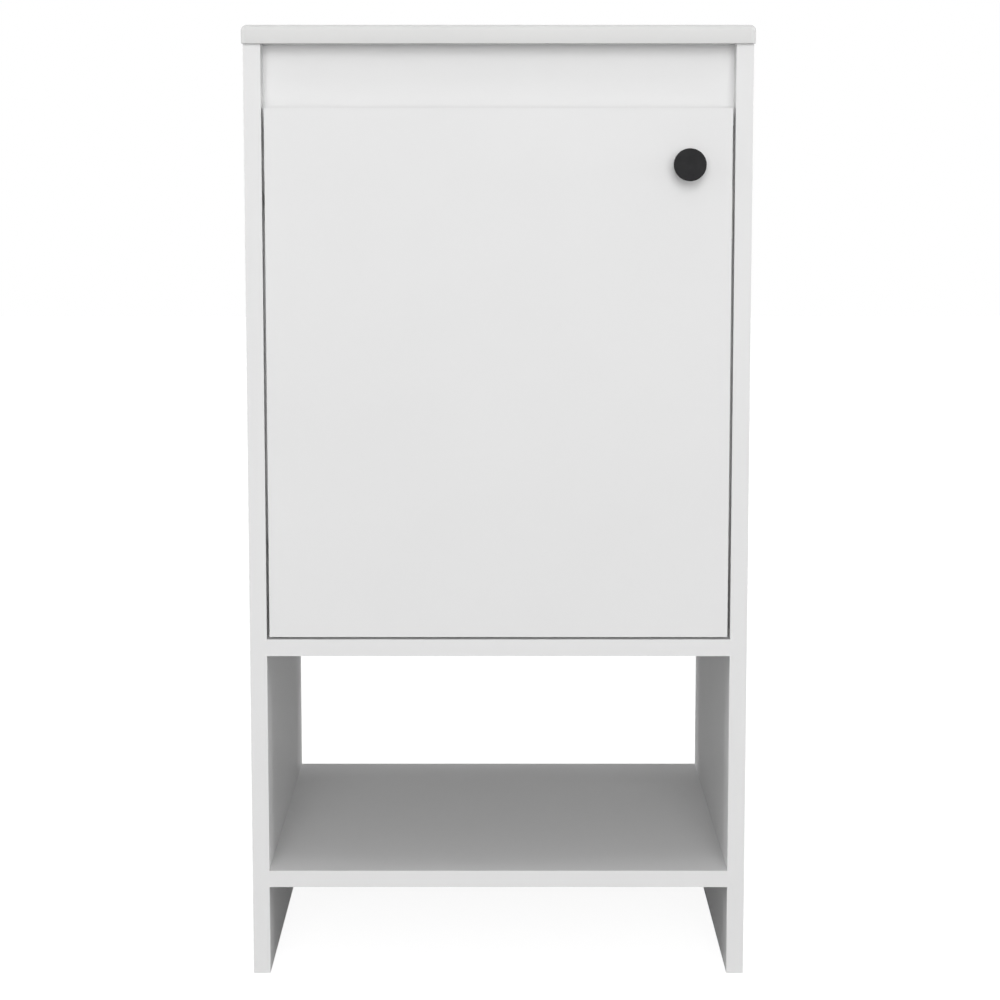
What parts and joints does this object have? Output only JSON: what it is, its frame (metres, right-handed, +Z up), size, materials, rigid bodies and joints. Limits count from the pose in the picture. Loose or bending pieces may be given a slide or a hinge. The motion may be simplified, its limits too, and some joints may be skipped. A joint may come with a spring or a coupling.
{
  "type": "bathroom vanity cabinet",
  "caption": "Narrow floor-standing bathroom vanity cabinet: ceramic basin top, one inset door with a round knob, an open bay and a low shelf.",
  "frame": {"origin": "on the floor, at the middle of the whole object's footprint, the knob included", "axes": "+Z up, the door and the knob face -Y, +X to the right as seen from the front"},
  "size_m": [0.443, 0.435, 0.842],
  "materials": {
    "white_board": "smooth satin white melamine facing",
    "edge_band": "satin white edge banding",
    "ceramic": "glossy white glaze",
    "black_knob": "matte black powder coat",
    "steel": "nickel plated",
    "cast_zinc": "die cast, dull",
    "beech": "plain beech, fluted",
    "catch_plastic": "white moulded plastic",
    "magnet": "dark grey ferrite"
  },
  "bodies": {
    "cabinet": {"left_side_panel": "white_board", "right_side_panel": "white_board", "side_edge_bands": "edge_band", "cabinet_floor": "white_board", "lower_shelf": "white_board", "shelf_edge_bands": "edge_band", "front_rail": "white_board", "rail_edge_band": "edge_band", "rear_top_rail": "white_board", "rear_lower_rail": "white_board", "cam_locks": "cast_zinc", "cam_bolts": "steel", "dowels": "beech", "sink_top": "ceramic", "hinge_arms": "steel", "hinge_plates": "steel", "arm_screws": "steel", "plate_screws": "steel", "magnetic_catch": "catch_plastic", "catch_magnet": "magnet", "catch_screws": "steel"},
    "door": {"door_panel": "white_board", "door_edge_bands": "edge_band", "knob": "black_knob", "knob_screw": "steel", "hinge_cups": "steel", "hinge_pins": "steel", "cup_screws": "steel", "catch_plate": "steel", "catch_plate_screw": "steel"}
  },
  "joints": [
    {"name": "door_hinge", "type": "hinge", "parent": "cabinet", "child": "door", "pos_m": [-0.1915, -0.1855, 0.5392], "axis": [0, 0, -1], "range_deg": [0, 100]}
  ]
}
